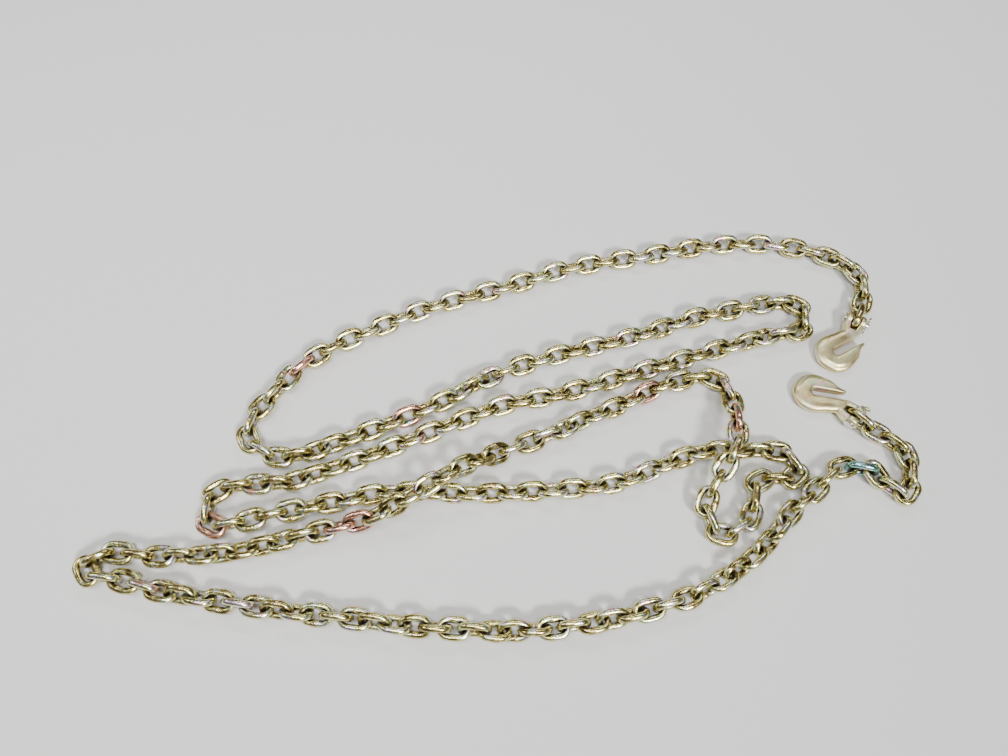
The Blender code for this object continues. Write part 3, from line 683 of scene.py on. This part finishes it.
def hookBody():
    # section carried round the C from the clevis root to the point: point(t, v) is
    # inner(t) + share(v) (outer(t) - inner(t)), at height rise(v, t) times half the thickness(t);
    # rise goes from the shank's section to the point's as crease(t) goes from 0 to 1
    half, ear = hook["slotWidth"] / 2, hook["clevisGap"] / 2 + hook["earThickness"]
    root, depth = 1 - hook["crotchDepth"], hook["slotDepth"]

    def onCircle(centre, radius, degrees):
        turn = math.radians(degrees)
        return (centre[0] + radius * math.cos(turn), centre[1] + radius * math.sin(turn))

    def bowl(degrees):
        return onCircle(hook["bowlCentre"], hook["bowlRadius"], degrees)

    def slotEnd(degrees):
        return onCircle((0, 0), half, degrees)

    rows = [(clevisPoint(root, 0.4 - ear), clevisPoint(root, ear - 0.4), 0.96, 0),
            (clevisPoint(root - 3.5, 2.4 - ear), clevisPoint(root - 5, ear - 1.4), 1.0, 0),
            ((depth, half), (20.0, 25.6), 1.0, 0), ((depth - 8, half), (12.5, 26.3), 1.0, 0),
            ((depth - 17, half), bowl(76), 1.0, 0), ((depth - 27, half), bowl(90), 1.0, 0),
            (slotEnd(90), bowl(108), 1.0, 0), (slotEnd(125), bowl(136), 1.0, 0.1),
            (slotEnd(180), bowl(180), 1.0, 0.3), (slotEnd(235), bowl(226), 1.0, 0.7),
            (slotEnd(270), bowl(256), 1.0, 1), ((depth - 27, -half), bowl(274), 1.0, 1),
            ((depth - 17, -half), bowl(290), 0.98, 1),
            ((depth - 9, -half), (21.0, -21.5), 0.94, 0.9),
            ((depth - 3, -half - 0.1), (29.0, -14.6), 0.84, 0.6),
            ((depth + 1.5, -half - 0.8), (36.5, -11.2), 0.68, 0.3),
            ((depth + 3.9, -half - 1.2), (40.9, -9.9), 0.56, 0.2)]
    path = smoothRow([(*a, *b, thick, crease) for a, b, thick, crease in rows], hook["bodyRows"])
    share, shank, point = np.array(hookSection + hookSection[::-1]).T
    side = np.repeat([1.0, -1.0], len(hookSection))
    inner, outer, thick, crease = path[:, None, 0:2], path[:, None, 2:4], path[:, 4:5], path[:, 5:6]
    flat = inner + share[None, :, None] * (outer - inner)
    high = side * (shank + crease * (point - shank)) * thick * hook["thickness"] / 2
    verts = np.concatenate([flat, high[:, :, None]], 2).reshape(-1, 3)
    return verts, tubeFaces(len(path), len(share))


def hookEar(side):
    # tongue of the clevis: outline(u) is a round boss about the pin that narrows to the root,
    # carried across the ear's thickness, rounded at both faces, and drawn in to the neck at its
    # root
    u = np.linspace(0, 1, 40)
    turn = np.radians(-hook["earTurn"] + 2 * hook["earTurn"] * u)
    boss = np.column_stack([np.cos(turn), np.sin(turn)]) * hook["earRadius"]
    root = -hook["crotchDepth"] - 6
    neck = earNeck + [(root, hook["thickness"] / 2 - 1.2)]
    outline = np.vstack([boss, neck, [(x, -y) for x, y in neck[::-1]]])
    low, high = hook["clevisGap"] / 2, hook["clevisGap"] / 2 + hook["earThickness"]
    steps = [(low, 0.88), (low + 0.5, 0.95), (low + 1.6, 1.0), (high - 2.6, 1.0),
             (high - 1.0, 0.94), (high, 0.8)]
    rings = []
    for across, size in steps:
        points = outline * size
        points[:, 0] = np.where(outline[:, 0] <= root, root, points[:, 0])
        behind = (-hook["earDrawStart"] - points[:, 0]) / hook["earDrawLength"]
        draw = hook["earRootDraw"] * np.clip(behind, 0, 1) ** hook["earDrawPower"]
        flat = np.array([clevisPoint(a, (across - d) * side) for a, d in zip(points[:, 0], draw)])
        rings.append(np.column_stack([flat, points[:, 1]]))
    return np.vstack(rings), tubeFaces(len(rings), len(outline))


def forged(name, shells, voxel, softening):
    # closed shells fused into one skin and softened, as a forging's fillets are
    build = bmesh.new()
    for verts, faces in shells:
        corners = [build.verts.new(v) for v in verts]
        for face in faces:
            build.faces.new([corners[i] for i in face])
    bmesh.ops.recalc_face_normals(build, faces=build.faces[:])
    mesh = bpy.data.meshes.new(name)
    build.to_mesh(mesh)
    build.free()
    guide = bpy.data.objects.new(name, mesh)
    bpy.context.scene.collection.objects.link(guide)
    skin = guide.modifiers.new("skin", "REMESH")
    skin.mode, skin.voxel_size, skin.adaptivity = "VOXEL", voxel, 0.0
    soften = guide.modifiers.new("soften", "SMOOTH")
    soften.factor, soften.iterations = 0.5, softening
    bpy.context.view_layer.update()
    evaluated = guide.evaluated_get(bpy.context.evaluated_depsgraph_get())
    fused = bpy.data.meshes.new_from_object(evaluated)
    verts = np.empty(len(fused.vertices) * 3)
    fused.vertices.foreach_get("co", verts)
    faces = [tuple(p.vertices) for p in fused.polygons]
    bpy.data.objects.remove(guide, do_unlink=True)
    return verts.reshape(-1, 3), faces


def turnedPin():
    # radius(h) swept round the axis: domed head, plain shank, chamfered end; h runs across the
    # clevis
    outer = hook["clevisGap"] / 2 + hook["earThickness"]
    under = outer + pin["headGap"]
    top, end = under + pin["headHeight"], -outer - pin["overrun"]
    head, radius, sides = pin["headRadius"], pin["radius"], pin["sides"]
    profile = [(pin["tipRadius"], top), (head - 2.6, top), (head - 1.0, top - 0.35),
               (head - 0.2, top - 1.1), (head, top - 1.8), (head, under + 0.3), (head - 0.3, under),
               (radius, under - 0.05), (radius, end + 1.2), (radius - 0.4, end + 0.4),
               (radius - 1.1, end), (pin["tipRadius"], end)]
    v = np.arange(sides) * 2 * math.pi / sides
    rings = [np.column_stack([r * np.cos(v), r * np.sin(v), np.full(sides, h)]) for r, h in profile]
    return np.vstack(rings), tubeFaces(len(profile), sides)


def wireAlong(points, radius, sides):
    # round wire: a circle carried along the points, its frame turned as little as it can be
    points = np.asarray(points, float)
    along = np.gradient(points, axis=0)
    along /= np.linalg.norm(along, axis=1)[:, None]
    side = np.cross(along[0], (0.3, 0.8, 0.5))
    side /= np.linalg.norm(side)
    v = np.arange(sides) * 2 * math.pi / sides
    rings = []
    for p, a in zip(points, along):
        side = side - a * side.dot(a)
        side /= np.linalg.norm(side)
        other = np.cross(a, side)
        rings.append(p + radius * (np.cos(v)[:, None] * side + np.sin(v)[:, None] * other))
    return np.vstack(rings), tubeFaces(len(points), sides)


def splitPin():
    # one wire: leg, stem, round the eye, stem, leg; x sideways, z up along the stem
    wire, eye, half = cotter["wire"], cotter["eye"], cotter["stem"] / 2
    gap = wire * cotter["gap"]
    rise = math.sqrt(eye ** 2 - gap ** 2)
    around = np.radians(np.linspace(-90 + math.degrees(math.asin(gap / eye)), 90, 12))
    loop = [(eye * math.cos(a), half + rise + eye * math.sin(a)) for a in around]
    leg = []
    for share in (1, 0.75, 0.5, 0.25):
        out, bend = cotter["leg"] * share, math.radians(cotter["spread"]) * min(1, 0.35 + share)
        leg.append((gap + out * math.sin(bend), -half - out * math.cos(bend)))
    stem = [(gap, z) for z in (0.6 - half, -half / 3, half / 3, half - 0.6)]
    right = leg + stem + loop
    left = [(-x, z) for x, z in right[:-1]][::-1]
    path = smoothRow(right + left, cotter["rows"])
    points = np.column_stack([path[:, 0], np.zeros(len(path)), path[:, 1]])
    return wireAlong(points, wire, cotter["sides"])


def addPiece(name, verts, faces, body, material, node, metal, tint):
    piece = meshObject(name, verts, faces, body, material, node)
    normals = np.empty(len(verts) * 3)
    piece.data.vertices.foreach_get("normal", normals)
    normals = normals.reshape(-1, 3)
    own = BVHTree.FromPolygons(verts.tolist(), faces)
    # painted shade: recesses of the piece itself and of the chain, stored on its points
    shares = [nookShare(verts, normals, near, nooks["hookRays"]) for near in (own, metal)]
    pointValues(piece.data, "nook", np.maximum(*shares))
    pointValues(piece.data, "linkTint", np.full(len(verts), tint))
    pointValues(piece.data, "weldMark", np.zeros(len(verts)))


def buildHook(tag, mirror, forgedPaint, pinPaint, metal):
    # the clevis pin lies on the joint's axis, and the hook tilts about it down to the floor
    joint = [j for j in frame["joints"] if j["name"] == f"hook_{tag}_swing"][0]
    centre, axis = Vector(joint["pos_m"]) / mm, Vector(joint["axis"])
    heading = axis.cross(Vector((0, 0, 1)))
    turn = math.radians(hook["clevisTurn"])
    base = Matrix.Rotation(math.atan2(heading.y, heading.x) - mirror * turn, 3, "Z")
    verts, faces = forged("hookCore", [hookBody(), hookEar(1), hookEar(-1)], hook["forgeGrain"],
                          hook["forgeSoftening"])
    local = (verts - (hook["pinAlong"], hook["pinAcross"], 0)) * (1, mirror, 1)
    low, high = -hook["mostTilt"], 0.0
    for _ in range(hook["tiltHalvings"]):
        tilt = (low + high) / 2
        whole = np.array(Matrix.Rotation(tilt, 3, axis) @ base)
        if (local @ whole.T)[:, 2].min() + centre.z > hook["offFloor"]:
            high = tilt
        else:
            low = tilt
    whole = np.array(Matrix.Rotation(high, 3, axis) @ base)

    def settle(points):
        return points @ whole.T + np.array(centre)

    body = f"hook_{tag}_body"
    if mirror < 0:
        faces = [f[::-1] for f in faces]
    addPiece(f"forgedHook{tag.upper()}", settle(local), faces, body, forgedPaint,
             f"hook_{tag}", metal, hook["tint"])
    onward = np.array((math.cos(turn), math.sin(turn) * mirror, 0))
    across = np.array((-math.sin(turn), math.cos(turn) * mirror, 0))
    up = np.cross(onward, across) * mirror
    verts, faces = turnedPin()
    grid = verts @ (onward, up, across)
    addPiece(f"clevisPin{tag.upper()}", settle(grid), faces, body, pinPaint,
             f"clevis_pin_{tag}", metal, pin["tint"])
    leanTurn = math.radians(cotter["lean"])
    lean = onward * math.cos(leanTurn) + up * math.sin(leanTurn)
    verts, faces = splitPin()
    spot = -across * (hook["clevisGap"] / 2 + hook["earThickness"] + cotter["offset"])
    grid = spot + verts @ (np.cross(lean, across), across, lean)
    addPiece(f"splitPin{tag.upper()}", settle(grid), faces, body, pinPaint,
             f"split_pin_{tag}", metal, cotter["tint"])
    print("hook", tag)


film = zincFilm()
zinc = plated("yellowZincPlate", film, {}, 0.4, (0.66, 0.54, 0.24, 1))
# the hooks' painted shade in recesses is a lighter brown than the chain's
forgedZinc = plated("forgedHookZinc", film, {
    "Patch": 40.0, "Specks": 0.3, "Gloss": 0.33, "Gold": (0.82, 0.68, 0.35, 1),
    "Straw": (0.9, 0.78, 0.43, 1), "Mint": (0.74, 0.8, 0.46, 1), "Lavender": (0.92, 0.76, 0.6, 1),
    "Pink": (0.92, 0.62, 0.48, 1), "Deep": (0.62, 0.48, 0.24, 1), "PaintedShade": (0.13, 0.08, 0.04, 1)},
    0.35, (0.76, 0.66, 0.42, 1))
pinZinc = plated("pinZinc", film, {
    "Patch": 150.0, "Specks": 0.4, "Gold": (0.74, 0.68, 0.5, 1), "Straw": (0.8, 0.76, 0.64, 1),
    "Mint": (0.76, 0.78, 0.7, 1), "Lavender": (0.82, 0.78, 0.8, 1), "Pink": (0.8, 0.66, 0.58, 1),
    "Deep": (0.6, 0.52, 0.36, 1)}, 0.2, (0.78, 0.74, 0.64, 1))
metal = buildChain(zinc)
for tag, mirror in (("a", 1), ("b", -1)):
    buildHook(tag, mirror, forgedZinc, pinZinc, metal)


# floor, light and camera; metres, watts and degrees
studio = {
    "floorSize": 30,
    "floorHeight": -0.0002,
    "floorColour": (0.75, 0.745, 0.735, 1),
    "floorRoughness": 0.85,
    "skyColour": (0.9, 0.93, 1.0, 1),
    "skyStrengths": (0.14, 0.55),  # in what the metal mirrors, and where it is seen
    "keyPlace": (0.8, -1.3, 1.6),
    "keyStrength": 3.3,
    "keyAngle": 12,
    "lamps": (("stripLight", (-0.2, -0.5, 2.2), (1.6, 0.1), 34),
              ("backStrip", (0.2, 1.2, 1.6), (1.8, 0.16), 11),
              ("sideLight", (-1.7, 0.2, 1.3), (0.4, 0.7), 8)),
    "cameraPlace": (-0.0156, -0.3716, 0.957),
    "cameraTilt": 24,
    "cameraRoll": 2,
    "lensPerWidth": 757 / 1008,  # focal length over the picture's width
}


def standObject(name, data, place=None):
    # lamps are turned to the heap's middle
    made = bpy.data.objects.new(name, data)
    bpy.context.scene.collection.objects.link(made)
    if place:
        made.location = place
        made.rotation_euler = (-Vector(place)).to_track_quat("-Z", "Y").to_euler()
    return made


def cameraAndLight():
    bpy.ops.mesh.primitive_plane_add(size=studio["floorSize"],
                                     location=(0, 0, studio["floorHeight"]))
    floor = bpy.context.object
    floor.name = "paleFloor"
    made, shader = shade("paleFloor")
    shader.inputs["Base Color"].default_value = studio["floorColour"]
    shader.inputs["Roughness"].default_value = studio["floorRoughness"]
    floor.data.materials.append(made)
    world = bpy.data.worlds.new("studio")
    bpy.context.scene.world = world
    world.use_nodes = True
    tree = world.node_tree
    sky = tree.nodes["Background"].inputs
    sky["Color"].default_value = studio["skyColour"]
    # the backdrop is pale where it is seen, and dim in what the metal mirrors
    seen = tree.nodes.new("ShaderNodeLightPath").outputs["Is Camera Ray"]
    tree.links.new(between(tree, seen, 0.0, 1.0, *studio["skyStrengths"]), sky["Strength"])
    key = bpy.data.lights.new("keyLight", "SUN")
    key.energy, key.angle = studio["keyStrength"], math.radians(studio["keyAngle"])
    standObject("keyLight", key, studio["keyPlace"])
    for name, place, size, power in studio["lamps"]:
        lamp = bpy.data.lights.new(name, "AREA")
        lamp.shape, (lamp.size, lamp.size_y) = "RECTANGLE", size
        lamp.energy = power
        standObject(name, lamp, place)
    lens = bpy.data.cameras.new("photoCamera")
    lens.sensor_width = 36
    lens.lens = studio["lensPerWidth"] * lens.sensor_width
    holder = standObject("photoCamera", lens)
    holder.matrix_world = (Matrix.Translation(studio["cameraPlace"])
                           @ Matrix.Rotation(math.radians(studio["cameraTilt"]), 4, "X")
                           @ Matrix.Rotation(math.radians(studio["cameraRoll"]), 4, "Z"))
    bpy.context.scene.camera = holder
    print("floor, lights and camera set")


cameraAndLight()
